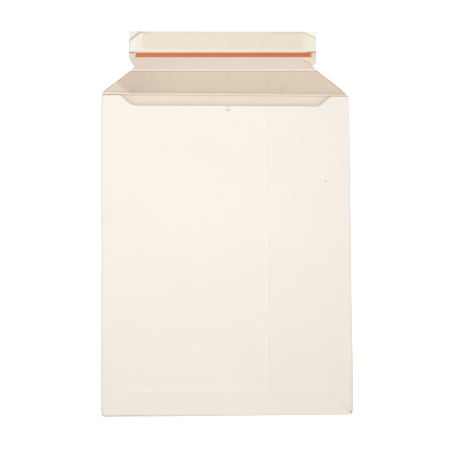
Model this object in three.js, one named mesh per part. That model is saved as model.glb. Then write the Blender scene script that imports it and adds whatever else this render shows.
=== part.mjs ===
// Board mailing envelope, lying on its back with its closing flap sprung open.
// One die-cut sheet of solid board is drawn flat and then folded. Glue films, a tear
// tape and a release liner are laid on it. Millimetres, +Z up, +Y towards the flap.
// The origin is the centre of the underside of the closed body.
import * as THREE from "three";

// Body and board
const packWidth = 250;
const packHeight = 320;
const boardThickness = 0.6;
const pocketGap = 0.5;
const glueThickness = 0.15;

// Front panel: how far its cut edges stay back from the folded outline
const frontTopInset = 0.8;
const frontRightInsetAtTop = 0.4;
const frontRightInsetAtBottom = 2.8;

// Mouth cut-out in the top edge of the front panel
const mouthDepth = 11.4;
const mouthLeftInset = 18.4;
const mouthRightInset = 19.1;
const mouthLeftRun = 12.5;
const mouthRightRun = 11.5;
const mouthCornerRadius = 5;

// Side glue flap, folded in from the right edge
const sideFlapWidth = 83.3;
const sideFlapTopInset = 24.5;
const sideFlapTopRise = 12;

// Bottom glue flap, folded up from the bottom edge
const bottomFlapHeight = 22.5;
const bottomFlapLeftInset = 11;
const flapSpacing = 1.5;
const glueFlapCornerRadius = 2;

// Closing flap: a tapered gusset from the mouth, then a lip with an ear at each end
const gussetLength = 29.2;
const gussetTilt = THREE.MathUtils.degToRad(42);
const gussetLeftStep = 2.7;
const lipLength = 37.4;
const lipTilt = THREE.MathUtils.degToRad(12);
const lipLeftInset = 27.8;
const lipRightInset = 36.1;
const notchReach = 3.8;
const notchLeftDepth = 5.4;
const notchRightDepth = 3.8;
const earLeftRise = 7.2;
const earRightRise = 3.6;
const earCornerRadius = 4;
const lipChamferLeft = { run: 11.4, drop: 9 };
const lipChamferRight = { run: 12, drop: 5.6 };
const lipChamferRadius = 3;

// Half-moon tear tab, cut through the lip at the right-hand notch
const tabRun = 8.8;
const tabRise = 5.1;
const tabBulge = 1.3;
const tabCutWidth = 0.3;
const tabCutSteps = 8;

// Scored creases of the closing flap. The scoring rule pushes up a sharp ridge on the
// inner side, with a flat shoulder above it at the mouth. Places are up the flap.
const creaseRadius = 1;
const creaseReach = 1.8;
const scoredForms = [
  { at: 0.95, height: 0.62, spread: 0.55 },
  { at: 2.6, height: -0.25, spread: 0.9 },
  { at: gussetLength - 0.2, height: 0.36, spread: 0.5 },
];
const mouthScoreSpan = { from: -0.6, to: 4.5, steps: 17 };
const lipScoreSpan = { from: gussetLength - 1.7, to: gussetLength + 1.3, steps: 12 };

// Relief that the glue flaps press into the front panel
const reliefRamp = 1.6;
const reliefMargin = 1.5;
const reliefMouthSpread = 2.5;
const reliefMouthShift = 3;
const reliefEndMargin = 4;
const reliefEndRamp = 6;
const reliefPitch = 6.5;
const rampSteps = 4;
const mouthReliefSteps = 3;

// Films laid on the lip, measured up the flap from the mouth crease
const filmClearance = 0.05;
const tape = { start: 42.4, width: 4.6, leftInset: 6.4, rightInset: 4.1, thickness: 0.12 };
const adhesive = { start: 49.6, width: 15.6, leftInset: 13.4, rightInset: 12.8, thickness: 0.1 };
const liner = { start: 48.2, width: 19.9, leftInset: 0.1, rightInset: 0, thickness: 0.08 };

// Glue films between the glue flaps and the front panel
const sideGlue = { width: 34, edgeInset: 7, endInset: 8 };
const bottomGlue = { height: 14, edgeInset: 3.5, endInset: 30 };

// Fineness of the folds and of the rounded corners
const foldSteps = 8;
const cornerSteps = 5;
const samePoint = 1e-5;
const sharedPoint = 1e-4;

// Derived sizes
const innerRadius = pocketGap / 2;
const outerRadius = innerRadius + boardThickness;
const neutralRadius = innerRadius + boardThickness / 2;
const foldLength = Math.PI * neutralRadius;
const halfWidth = packWidth / 2;
const mouthLine = packHeight / 2;
const leftFold = outerRadius - halfWidth;
const rightFold = halfWidth - outerRadius;
const bottomFold = outerRadius - mouthLine;
const frontTop = mouthLine - frontTopInset;
const reliefHeight = boardThickness + glueThickness;
const flapLength = gussetLength + lipLength;
const lipLeft = lipLeftInset - halfWidth;
const lipRight = halfWidth - lipRightInset;

// Edges of the two glue flaps as they lie once folded
const sideFlapEdge = halfWidth - sideFlapWidth;
const sideFlapCorner = mouthLine - sideFlapTopInset;
const sideFlapTopAtFold = sideFlapCorner + sideFlapTopRise;
const bottomFlapEdge = bottomFlapHeight - mouthLine;
const sideFlapBottom = bottomFlapEdge + flapSpacing;
const mitreShift = flapSpacing / Math.SQRT2;
const sideFlapBottomAtFold = bottomFold + mitreShift + outerRadius;
const sideFlapMitre = rightFold - (sideFlapBottom - sideFlapBottomAtFold);
const bottomFlapRight = rightFold - mitreShift;
const bottomFlapRightEnd = bottomFlapRight - (bottomFlapEdge - bottomFold);
const bottomFlapLeft = bottomFlapLeftInset - halfWidth;
const bottomFlapLeftEnd = bottomFlapLeft + (bottomFlapEdge - bottomFold);

// Places on the flat sheet of points that are given where they lie once folded
const frontU = (x) => 2 * leftFold - foldLength - x;
const sideU = (x) => 2 * rightFold + foldLength - x;
const bottomV = (y) => 2 * bottomFold - foldLength - y;
const flapV = (distance) => mouthLine + distance;

// A closed outline through corners [u, v, radius], each rounded where it has a radius
function roundedOutline(corners) {
  const path = new THREE.Path();
  corners.forEach(([u, v, radius = 0], index) => {
    const corner = new THREE.Vector2(u, v);
    const towards = (other) => new THREE.Vector2(other[0], other[1]).sub(corner);
    const before = towards(corners.at(index - 1));
    const after = towards(corners[(index + 1) % corners.length]);
    const start = corner.clone().addScaledVector(before.clone().normalize(), radius);
    const end = corner.clone().addScaledVector(after.clone().normalize(), radius);
    if (index === 0) path.moveTo(start.x, start.y);
    else path.lineTo(start.x, start.y);
    if (radius > 0) path.quadraticCurveTo(u, v, end.x, end.y);
  });
  path.closePath();
  return tidyPolygon(path.getPoints(cornerSteps));
}

// The bottom edge of the sheet, from the front panel's cut edge round to the right fold
function bottomCorners() {
  return [
    [frontU(halfWidth - frontRightInsetAtBottom), bottomFold],
    [bottomFlapLeft, bottomFold],
    [bottomFlapLeft, bottomFold - foldLength],
    [bottomFlapLeftEnd, bottomV(bottomFlapEdge), glueFlapCornerRadius],
    [bottomFlapRightEnd, bottomV(bottomFlapEdge), glueFlapCornerRadius],
    [bottomFlapRight, bottomFold - foldLength],
    [bottomFlapRight, bottomFold],
    [rightFold, bottomFold],
  ];
}

// The side glue flap, with a mitred lower end and a sloping upper end
function sideFlapCorners() {
  return [
    [rightFold, sideFlapBottomAtFold],
    [rightFold + foldLength, sideFlapBottomAtFold],
    [sideU(sideFlapMitre), sideFlapBottom, glueFlapCornerRadius],
    [sideU(sideFlapEdge), sideFlapBottom, glueFlapCornerRadius],
    [sideU(sideFlapEdge), sideFlapCorner, glueFlapCornerRadius],
    [rightFold + foldLength, sideFlapTopAtFold],
    [rightFold, sideFlapTopAtFold],
  ];
}

// One side of the tear tab's cut, offset from its middle line, from the notch inwards
function tabCutSide(notch, offset) {
  return Array.from({ length: tabCutSteps }, (unused, step) => {
    const share = (step + 1) / tabCutSteps;
    const bow = tabBulge * Math.sin(Math.PI * share);
    const u = notch.u - tabRun * share + bow * tabRise / tabRun;
    const v = notch.v + tabRise * share + bow + offset * (1 - share);
    return [u, v];
  });
}

// The closing flap, from the right end of the mouth crease over to the left end
function closingFlapCorners() {
  const notchV = flapV(gussetLength + notchReach);
  const topV = flapV(flapLength);
  const notchRight = { u: lipRight - notchRightDepth, v: notchV };
  const notchLeft = lipLeft + notchLeftDepth;
  return [
    [rightFold, mouthLine],
    [notchRight.u, notchV],
    ...tabCutSide(notchRight, 0),
    ...tabCutSide(notchRight, tabCutWidth).reverse().slice(1),
    [notchRight.u, notchV + tabCutWidth],
    [lipRight, notchV + earRightRise],
    [lipRight, topV - lipChamferRight.drop, lipChamferRadius],
    [lipRight - lipChamferRight.run, topV, lipChamferRadius],
    [lipLeft + lipChamferLeft.run, topV],
    [lipLeft, topV - lipChamferLeft.drop],
    [lipLeft, notchV + earLeftRise, earCornerRadius],
    [notchLeft, notchV],
    [leftFold, flapV(gussetLeftStep)],
    [leftFold, mouthLine],
  ];
}

// The top edge of the front panel with the mouth cut out of it
function frontTopCorners() {
  const mouthBottom = mouthLine - mouthDepth;
  const mouthLeft = mouthLeftInset - halfWidth;
  const mouthRight = halfWidth - mouthRightInset;
  return [
    [leftFold, frontTop],
    [frontU(mouthLeft), frontTop],
    [frontU(mouthLeft + mouthLeftRun), mouthBottom, mouthCornerRadius],
    [frontU(mouthRight - mouthRightRun), mouthBottom, mouthCornerRadius],
    [frontU(mouthRight), frontTop],
    [frontU(halfWidth - frontRightInsetAtTop), frontTop],
  ];
}

// The whole die-cut sheet, drawn flat with its inner side up
function blankOutline() {
  return roundedOutline([
    ...bottomCorners(),
    ...sideFlapCorners(),
    ...closingFlapCorners(),
    ...frontTopCorners(),
  ]);
}

const clamp01 = (value) => Math.min(Math.max(value, 0), 1);
const smooth = (value) => THREE.MathUtils.smoothstep(value, 0, 1);

// How much of the full relief the side flap gives the front panel at one place
function sideRelief(x, y) {
  const above = Math.max(y - sideFlapCorner - reliefMargin, 0);
  const ramp = reliefRamp + above * reliefMouthSpread;
  const full = sideFlapEdge + above * reliefMouthShift;
  return smooth((x - full + ramp) / ramp);
}

// How much of the full relief the bottom flap gives the front panel at one place
function bottomRelief(x, y) {
  const endLine = bottomFlapLeft + y - bottomFold - reliefEndMargin;
  const alongX = smooth((x - endLine + reliefEndRamp) / reliefEndRamp);
  return alongX * smooth((bottomFlapEdge + reliefRamp - y) / reliefRamp);
}

// Height that the front panel is lifted by the glue flaps beneath it
function reliefAt(x, y) {
  return reliefHeight * (1 - (1 - sideRelief(x, y)) * (1 - bottomRelief(x, y)));
}

// Folds the sheet right over: distance past the fold line, depth from the outer side
function foldOver(distance, depth) {
  const angle = Math.min(Math.max(distance, 0) / neutralRadius, Math.PI);
  const radius = outerRadius - depth;
  const beyond = Math.max(distance - foldLength, 0);
  const out = radius * Math.sin(angle) - beyond;
  const height = outerRadius - radius * Math.cos(angle);
  return { out, height };
}

// The scored creases of the closing flap, each turning the sheet to a new tilt
const flapCreases = [
  { at: 0, tilt: gussetTilt },
  { at: gussetLength, tilt: lipTilt },
];

// Lift of the ridges and of the shoulder along the creases, at a distance up the flap
function scoredLift(distance) {
  const lifts = scoredForms.map(({ at, height, spread }) => (
    height * Math.exp(-(((distance - at) / spread) ** 2))
  ));
  return lifts.reduce((total, lift) => total + lift, 0);
}

// Middle of the sheet and its tilt at a distance up the closing flap
function flapPath(distance) {
  const place = { y: mouthLine, z: boardThickness / 2, tilt: 0 };
  let walked = 0;
  const walkTo = (target) => {
    const length = Math.min(target, distance) - walked;
    place.y += length * Math.cos(place.tilt);
    place.z += length * Math.sin(place.tilt);
    walked += length;
  };
  flapCreases.forEach(({ at, tilt }) => {
    const turn = tilt - place.tilt;
    const half = Math.abs(turn) * creaseRadius / 2;
    walkTo(at - half);
    const share = clamp01((distance - at + half) / (2 * half));
    place.tilt += turn * share / 2;
    walkTo(at + half);
    place.tilt += turn * share / 2;
  });
  walkTo(distance);
  return place;
}

// Where a point of the closing flap lies
function placeOnFlap(u, v, depth) {
  const distance = v - mouthLine;
  const { y, z, tilt } = flapPath(distance);
  const offset = depth - boardThickness / 2 + scoredLift(distance);
  return new THREE.Vector3(u, y - offset * Math.sin(tilt), z + offset * Math.cos(tilt));
}

// Where a point of the flat sheet lies once the envelope is folded
function placeOnPack(u, v, depth) {
  if (u < leftFold) {
    const { out, height } = foldOver(leftFold - u, depth);
    const x = leftFold - out;
    const lift = leftFold - u > foldLength ? reliefAt(x, v) : 0;
    return new THREE.Vector3(x, v, height + lift);
  }
  if (u > rightFold) {
    const { out, height } = foldOver(u - rightFold, depth);
    return new THREE.Vector3(rightFold + out, v, height);
  }
  if (v < bottomFold) {
    const { out, height } = foldOver(bottomFold - v, depth);
    return new THREE.Vector3(u, bottomFold - out, height);
  }
  if (v > mouthLine - creaseReach) return placeOnFlap(u, v, depth);
  return new THREE.Vector3(u, v, depth);
}

// Evenly spaced values from start to end, both included
function stations(start, end, steps) {
  return Array.from({ length: steps + 1 }, (unused, step) => start + (end - start) * step / steps);
}

// Values about one pitch apart from start to end, both included
function pitched(start, end) {
  return stations(start, end, Math.ceil(Math.abs(end - start) / reliefPitch));
}

// Lines across the sheet along which it bends, for one direction
function bendLinesU() {
  const reliefStart = sideFlapEdge - reliefRamp;
  const reliefSpan = sideFlapEdge + reliefMouthShift * sideFlapTopInset / 2;
  const relief = [
    ...pitched(-halfWidth, bottomFlapLeftEnd),
    reliefStart - reliefPitch,
    ...stations(reliefStart, sideFlapEdge, rampSteps),
    ...pitched(sideFlapEdge, reliefSpan),
  ];
  return [
    ...stations(leftFold, leftFold - foldLength, foldSteps),
    ...stations(rightFold, rightFold + foldLength, foldSteps),
    ...relief.slice(1).map(frontU),
    bottomFlapLeft,
    bottomFlapRight,
  ];
}

// Lines across the sheet along which it bends, for the other direction
function bendLinesV() {
  const halfBend = Math.abs(gussetTilt - lipTilt) * creaseRadius / 2;
  const mouthBottom = mouthLine - mouthDepth;
  const scored = [mouthScoreSpan, lipScoreSpan].flatMap(({ from, to, steps }) => (
    stations(from, to, steps)
  ));
  const flapLines = [
    -creaseReach,
    ...scored,
    gussetLength - halfBend,
    gussetLength + halfBend,
  ];
  return [
    ...stations(bottomFold, bottomFold - foldLength, foldSteps),
    ...stations(bottomFold, bottomFlapEdge, rampSteps),
    ...stations(bottomFlapEdge, bottomFlapEdge + reliefRamp, rampSteps),
    ...stations(sideFlapCorner + reliefMargin, mouthBottom, mouthReliefSteps),
    sideFlapBottomAtFold,
    sideFlapTopAtFold,
    frontTop,
    ...flapLines.map(flapV),
  ];
}

// Sorted lines with the ones that all but coincide left out
function distinct(lines) {
  const sorted = [...lines].sort((first, second) => first - second);
  return sorted.filter((line, index) => index === 0 || line - sorted[index - 1] > samePoint);
}

// The part of a polygon between two values of one coordinate
function clipBetween(polygon, axis, low, high) {
  const clip = (points, side) => points.flatMap((point, index) => {
    const next = points[(index + 1) % points.length];
    const here = side(point[axis]);
    const there = side(next[axis]);
    const kept = here >= 0 ? [point] : [];
    if (here * there < 0) kept.push(point.clone().lerp(next, here / (here - there)));
    return kept;
  });
  return clip(clip(polygon, (value) => value - low), (value) => high - value);
}

// A polygon without repeated points and without spikes that run out and straight back
function tidyPolygon(polygon) {
  const apart = polygon.filter((point, index) => (
    point.distanceTo(polygon.at(index - 1)) > samePoint
  ));
  return apart.filter((point, index) => {
    const arriving = point.clone().sub(apart.at(index - 1));
    const leaving = apart[(index + 1) % apart.length].clone().sub(point);
    const turnsBack = arriving.dot(leaving) < 0;
    return !(turnsBack && Math.abs(arriving.cross(leaving)) < samePoint);
  });
}

// Cuts an outline into cells along two sets of lines
function cutIntoCells(outline, uLines, vLines) {
  const spans = (lines) => {
    const edges = [-Infinity, ...distinct(lines), Infinity];
    return edges.slice(1).map((edge, index) => [edges[index], edge]);
  };
  const strips = spans(uLines).map(([low, high]) => clipBetween(outline, "x", low, high));
  const cells = strips.flatMap((strip) => (
    spans(vLines).map(([low, high]) => clipBetween(strip, "y", low, high))
  ));
  return cells
    .map(tidyPolygon)
    .filter((cell) => cell.length > 2 && THREE.ShapeUtils.area(cell) > samePoint);
}

// Flat triangles over the cells, with each shared corner listed once
function triangulateCells(cells) {
  const points = [];
  const known = new Map();
  const indexOf = (point) => {
    const key = [point.x, point.y].map((value) => Math.round(value / sharedPoint)).join();
    if (!known.has(key)) known.set(key, points.push(point) - 1);
    return known.get(key);
  };
  const triangles = cells.flatMap((cell) => {
    const indices = cell.map(indexOf);
    return THREE.ShapeUtils.triangulateShape(cell, []).map((face) => face.map((at) => indices[at]));
  });
  return { points, triangles };
}

// Edges that belong to one triangle only, in the direction that the outline runs
function rimEdges(triangles) {
  const directed = new Map();
  triangles.forEach((face) => face.forEach((from, corner) => {
    const to = face[(corner + 1) % face.length];
    directed.set(`${from}_${to}`, [from, to]);
  }));
  return [...directed.values()].filter(([from, to]) => !directed.has(`${to}_${from}`));
}

// A closed sheet: its inner side, its outer side and the cut edge between them
function sheetGeometry(outline, uLines, vLines, place) {
  const { points, triangles } = triangulateCells(cutIntoCells(outline, uLines, vLines));
  const count = points.length;
  const inner = points.map((point) => place(point.x, point.y, boardThickness));
  const outer = points.map((point) => place(point.x, point.y, 0));
  const rim = rimEdges(triangles).flatMap(([from, to]) => [
    [from + count, to + count, to],
    [from + count, to, from],
  ]);
  const back = triangles.map(([first, second, third]) => [third + count, second + count, first + count]);
  const geometry = new THREE.BufferGeometry().setFromPoints([...inner, ...outer]);
  geometry.setIndex([...triangles, ...back, ...rim].flat());
  geometry.computeVertexNormals();
  return geometry;
}

function makeMaterial(color, roughness, extra = {}) {
  return new THREE.MeshStandardMaterial({ color, roughness, metalness: 0, ...extra });
}

const boardMaterial = makeMaterial(0xf2ebdf, 0.72);
const tapeMaterial = makeMaterial(0xd8774b, 0.42);
const linerMaterial = makeMaterial(0xece3d0, 0.35);
const adhesiveMaterial = makeMaterial(0xdfcfae, 0.3);
const glueMaterial = makeMaterial(0xd9cdb4, 0.5);

function makeMesh(name, geometry, material) {
  const mesh = new THREE.Mesh(geometry, material);
  mesh.name = name;
  return mesh;
}

// The folded sheet of board
function makeBlank() {
  const geometry = sheetGeometry(blankOutline(), bendLinesU(), bendLinesV(), placeOnPack);
  return makeMesh("board_blank", geometry, boardMaterial);
}

// A thin film on the lip, in the lip's own plane with v measured up the flap
function makeLipFilm(name, size, level, material) {
  const width = lipRight - size.rightInset - lipLeft - size.leftInset;
  const geometry = new THREE.BoxGeometry(width, size.width, size.thickness);
  const mesh = makeMesh(name, geometry, material);
  const middle = lipLeft + size.leftInset + width / 2;
  const upTheLip = size.start + size.width / 2 - gussetLength;
  mesh.position.set(middle, upTheLip, level + size.thickness / 2);
  return mesh;
}

// Tear tape, adhesive strip and release liner, turned with the lip
function makeLipFilms() {
  const group = new THREE.Group();
  const { y, z, tilt } = flapPath(flapLength);
  group.position.set(0, y - lipLength * Math.cos(tilt), z - lipLength * Math.sin(tilt));
  group.rotation.x = tilt;
  const boardFace = boardThickness / 2 + filmClearance;
  const linerLevel = boardFace + adhesive.thickness + filmClearance;
  group.add(makeLipFilm("tear_tape", tape, boardFace, tapeMaterial));
  group.add(makeLipFilm("flap_adhesive", adhesive, boardFace, adhesiveMaterial));
  group.add(makeLipFilm("release_liner", liner, linerLevel, linerMaterial));
  return group;
}

// A glue film between a glue flap and the front panel, given by its edges
function makeGlueFilm(name, left, right, low, high) {
  const geometry = new THREE.BoxGeometry(right - left, high - low, glueThickness);
  const mesh = makeMesh(name, geometry, glueMaterial);
  const level = 2 * outerRadius + glueThickness / 2;
  mesh.position.set((left + right) / 2, (low + high) / 2, level);
  return mesh;
}

// Glue along the side seam, near the front panel's cut edge
function makeSideGlue() {
  const right = halfWidth - sideGlue.edgeInset;
  const low = sideFlapBottom + sideGlue.endInset;
  const high = sideFlapCorner - sideGlue.endInset;
  return makeGlueFilm("side_seam_glue", right - sideGlue.width, right, low, high);
}

// Glue along the bottom flap
function makeBottomGlue() {
  const low = bottomGlue.edgeInset - mouthLine;
  const left = bottomFlapLeft + bottomGlue.endInset;
  const right = bottomFlapRight - bottomGlue.endInset;
  return makeGlueFilm("bottom_flap_glue", left, right, low, low + bottomGlue.height);
}

const envelope = new THREE.Group();
envelope.add(makeBlank());
envelope.add(makeLipFilms());
envelope.add(makeSideGlue());
envelope.add(makeBottomGlue());

export default envelope;
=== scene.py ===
# Looks for the board mailing envelope: the folded sheet of board with its pressed-in
# relief and worn corners, the films on its lip, their materials, and the photo's view.
import math

import bpy
from mathutils import Matrix, Vector, noise


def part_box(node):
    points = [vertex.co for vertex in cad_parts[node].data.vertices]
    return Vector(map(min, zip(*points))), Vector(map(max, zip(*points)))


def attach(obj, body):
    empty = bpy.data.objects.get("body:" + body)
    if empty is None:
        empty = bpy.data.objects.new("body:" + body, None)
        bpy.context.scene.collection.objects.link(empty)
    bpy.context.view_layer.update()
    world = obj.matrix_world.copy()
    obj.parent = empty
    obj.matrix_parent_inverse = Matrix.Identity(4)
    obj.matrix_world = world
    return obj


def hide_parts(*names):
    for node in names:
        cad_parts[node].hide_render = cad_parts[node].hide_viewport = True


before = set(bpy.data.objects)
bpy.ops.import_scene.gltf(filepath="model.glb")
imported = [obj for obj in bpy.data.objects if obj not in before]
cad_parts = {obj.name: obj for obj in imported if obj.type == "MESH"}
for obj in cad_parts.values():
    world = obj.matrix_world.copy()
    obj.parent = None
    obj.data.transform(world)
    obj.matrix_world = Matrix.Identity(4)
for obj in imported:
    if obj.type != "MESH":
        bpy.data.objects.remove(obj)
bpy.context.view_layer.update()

MM = 0.001
TINY = 1e-5


def in_mm(node):
    """Lowest and highest corner of a CAD node, in millimetres."""
    return [[value / MM for value in corner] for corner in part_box(node)]


# Body and board, in millimetres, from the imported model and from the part's own sizes
BLANK_LOW, BLANK_HIGH = in_mm("board_blank")
HALF_WIDTH = BLANK_HIGH[0]
MOUTH_LINE = -BLANK_LOW[1]
BOARD = 0.6
GAP = 0.5
GLUE = 0.15

# Cut-outs and flaps of the sheet
FRONT_TOP_INSET_LEFT = 0.35
FRONT_TOP_INSET_RIGHT = 0.85
FRONT_RIGHT_INSET_TOP = 0.4
FRONT_RIGHT_INSET_BOTTOM = 2.8
FRONT_BOTTOM_DROP = 0.7
FRONT_STEP_LEFT = -92
FRONT_STEP_RIGHT = -80
MOUTH_DEPTH = 11.4
MOUTH_LEFT_INSET = 18.4
MOUTH_RIGHT_INSET = 19.1
MOUTH_LEFT_RUN = 12.5
MOUTH_RIGHT_RUN = 11.5
MOUTH_RADIUS = 5
SIDE_FLAP_WIDTH = 83.3
SIDE_FLAP_TOP_INSET = 24.5
SIDE_FLAP_TOP_RISE = 12
BOTTOM_FLAP_HEIGHT = 22.5
BOTTOM_FLAP_LEFT_INSET = 11
SLIT = 0.3
FLAP_SPACING = 1.5
GLUE_FLAP_RADIUS = 2

# Closing flap
GUSSET = 29.2
GUSSET_TILT = math.radians(42)
GUSSET_LEFT_STEP = 2.7
LIP = 37.4
LIP_TILT = math.radians(12)
LIP_LEFT_INSET = 27.8
LIP_RIGHT_INSET = 36.1
NOTCH_REACH = 3.8
NOTCH_LEFT = 5.4
NOTCH_RIGHT = 3.8
EAR_LEFT_RISE = 7.2
EAR_RIGHT_RISE = 3.6
EAR_RADIUS = 4
CHAMFER_LEFT = (11.4, 9)
CHAMFER_RIGHT = (12, 5.6)
CHAMFER_RADIUS = 3
TAB_RUN = 8.8
TAB_RISE = 5.1
TAB_BULGE = 1.3
TAB_CUT = 0.3
TAB_STEPS = 14
CREASE_RADIUS = 1
BEAD_REACH = 1.8
SKEW = 0.0075
SKEW_RISE = 20

# Relief that the glue flaps press into the front panel
RELIEF_RAMP = 6
RELIEF_MARGIN = 1.5
RELIEF_MOUTH_SPREAD = 2.5
RELIEF_MOUTH_SHIFT = 3
RELIEF_END_MARGIN = 4
RELIEF_END_RAMP = 18

# Rounding of the cut edge, slope of the marks along the mouth crease, and how far the
# front panel gapes at the mouth and swells in its middle
BOARD_ARRIS = 0.06
MOUTH_CREASE_SLOPE = 0.0036
GAPE = 2.5
PILLOW = 0.35

# How far the body's long borders bow out
BOW_LEFT = 0.6
BOW_RIGHT = 0.45

# Films on the lip: start up the flap, width, insets at the left and right, thickness
TAPE = (42.4, 4.3, 6.4, 4.1, 0.12)
ADHESIVE = (49.6, 15.6, 13.4, 12.8, 0.1)
LINER = (47.7, 20.4, 0.1, 0.0, 0.08)
FILM_CLEARANCE = 0.05

# Derived sizes
INNER_RADIUS = GAP / 2
OUTER_RADIUS = INNER_RADIUS + BOARD
NEUTRAL_RADIUS = INNER_RADIUS + BOARD / 2
FOLD = math.pi * NEUTRAL_RADIUS
FOLD_PITCH = FOLD / 12
LEFT_FOLD = OUTER_RADIUS - HALF_WIDTH
RIGHT_FOLD = HALF_WIDTH - OUTER_RADIUS
BOTTOM_FOLD = OUTER_RADIUS - MOUTH_LINE
FRONT_BOTTOM = BOTTOM_FOLD - FRONT_BOTTOM_DROP
FRONT_TOP_LEFT = MOUTH_LINE - FRONT_TOP_INSET_LEFT
FRONT_TOP_RIGHT = MOUTH_LINE - FRONT_TOP_INSET_RIGHT
MOUTH_BOTTOM = MOUTH_LINE - MOUTH_DEPTH
MOUTH_LEFT = MOUTH_LEFT_INSET - HALF_WIDTH
MOUTH_RIGHT = HALF_WIDTH - MOUTH_RIGHT_INSET
RELIEF = BOARD + GLUE
FLAP = GUSSET + LIP
LIP_LEFT = LIP_LEFT_INSET - HALF_WIDTH
LIP_RIGHT = HALF_WIDTH - LIP_RIGHT_INSET
SIDE_EDGE = HALF_WIDTH - SIDE_FLAP_WIDTH
SIDE_CORNER = MOUTH_LINE - SIDE_FLAP_TOP_INSET
SIDE_TOP_AT_FOLD = SIDE_CORNER + SIDE_FLAP_TOP_RISE
BOTTOM_EDGE = BOTTOM_FLAP_HEIGHT - MOUTH_LINE
SIDE_BOTTOM = BOTTOM_EDGE + FLAP_SPACING
MITRE_SHIFT = FLAP_SPACING / math.sqrt(2)
SIDE_BOTTOM_AT_FOLD = BOTTOM_FOLD + MITRE_SHIFT + OUTER_RADIUS
SIDE_MITRE = RIGHT_FOLD - (SIDE_BOTTOM - SIDE_BOTTOM_AT_FOLD)
BOTTOM_RIGHT = RIGHT_FOLD - MITRE_SHIFT
BOTTOM_RIGHT_END = BOTTOM_RIGHT - (BOTTOM_EDGE - BOTTOM_FOLD)
BOTTOM_LEFT = BOTTOM_FLAP_LEFT_INSET - HALF_WIDTH
BOTTOM_LEFT_END = BOTTOM_LEFT + (BOTTOM_EDGE - BOTTOM_FOLD)


# Where places on the front panel, side flap and bottom flap lie on the flat sheet
def front_u(x):
    return 2 * LEFT_FOLD - FOLD - x


def side_u(x):
    return 2 * RIGHT_FOLD + FOLD - x


def bottom_v(y):
    return 2 * BOTTOM_FOLD - FOLD - y


def clamp(value, low=0.0, high=1.0):
    return min(max(value, low), high)


def smooth(value):
    value = clamp(value)
    return value * value * (3 - 2 * value)


def bump(distance, spread):
    return math.exp(-((distance / spread) ** 2))


def between(keys, at):
    """Values at a place between keys (place, value, ...) that are sorted by place."""
    if at <= keys[0][0]:
        return keys[0][1:]
    for low, high in zip(keys, keys[1:]):
        if at <= high[0]:
            share = smooth((at - low[0]) / (high[0] - low[0]))
            return [a + (b - a) * share for a, b in zip(low[1:], high[1:])]
    return keys[-1][1:]


def add_object(name, data):
    added = bpy.data.objects.new(name, data)
    bpy.context.scene.collection.objects.link(added)
    return added


def grain(x, y, size, seed):
    """Smooth noise from about -1 to 1 with features of that size."""
    return noise.noise(Vector((x / size + 17.3 * seed, y / size - 9.1 * seed, 3.7 * seed)))


# The camera, fitted to the four corners of the closed body: its turns about x, y and z in
# degrees, its aim and its distance in millimetres
CAMERA_TURNS = (-4.394, 3.565, 0.322)
CAMERA_AIM = (-1.57, 29.19, 0)
CAMERA_DISTANCE = 1400


def make_camera():
    about_x, about_y, about_z = (
        Matrix.Rotation(math.radians(turn), 3, axis) for turn, axis in zip(CAMERA_TURNS, "XYZ"))
    to_world = (about_x @ about_y @ about_z).transposed()
    place = Vector(CAMERA_AIM) * MM + to_world @ Vector((0, 0, CAMERA_DISTANCE * MM))
    data = bpy.data.cameras.new("photo_view")
    data.sensor_width = 36
    data.lens = 112
    camera = add_object("photo_view", data)
    camera.matrix_world = Matrix.Translation(place) @ to_world.to_4x4()
    bpy.context.scene.camera = camera


make_camera()


def tidy_polygon(polygon):
    """A polygon without repeated points and without spikes that run straight back."""
    apart = [p for i, p in enumerate(polygon) if math.dist(p, polygon[i - 1]) > TINY]
    kept = []
    for i, here in enumerate(apart):
        before, after = apart[i - 1], apart[(i + 1) % len(apart)]
        arriving = (here[0] - before[0], here[1] - before[1])
        leaving = (after[0] - here[0], after[1] - here[1])
        back = arriving[0] * leaving[0] + arriving[1] * leaving[1] < 0
        turn = arriving[0] * leaving[1] - arriving[1] * leaving[0]
        if not (back and abs(turn) < TINY):
            kept.append(here)
    return kept


def rounded_outline(corners, steps=9):
    points = []
    for i, corner in enumerate(corners):
        at = Vector(corner[:2])
        radius = corner[2] if len(corner) > 2 else 0
        if not radius:
            points.append(tuple(at))
            continue
        start = at + (Vector(corners[i - 1][:2]) - at).normalized() * radius
        end = at + (Vector(corners[(i + 1) % len(corners)][:2]) - at).normalized() * radius
        for step in range(steps + 1):
            t = step / steps
            point = start * (1 - t) ** 2 + at * 2 * t * (1 - t) + end * t ** 2
            points.append(tuple(point))
    return tidy_polygon(points)


def tab_cut_side(notch, offset):
    points = []
    for step in range(1, TAB_STEPS + 1):
        share = step / TAB_STEPS
        bow = TAB_BULGE * math.sin(math.pi * share)
        points.append((
            notch[0] - TAB_RUN * share + bow * TAB_RISE / TAB_RUN,
            notch[1] + TAB_RISE * share + bow + offset * (1 - share)))
    return points


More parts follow.
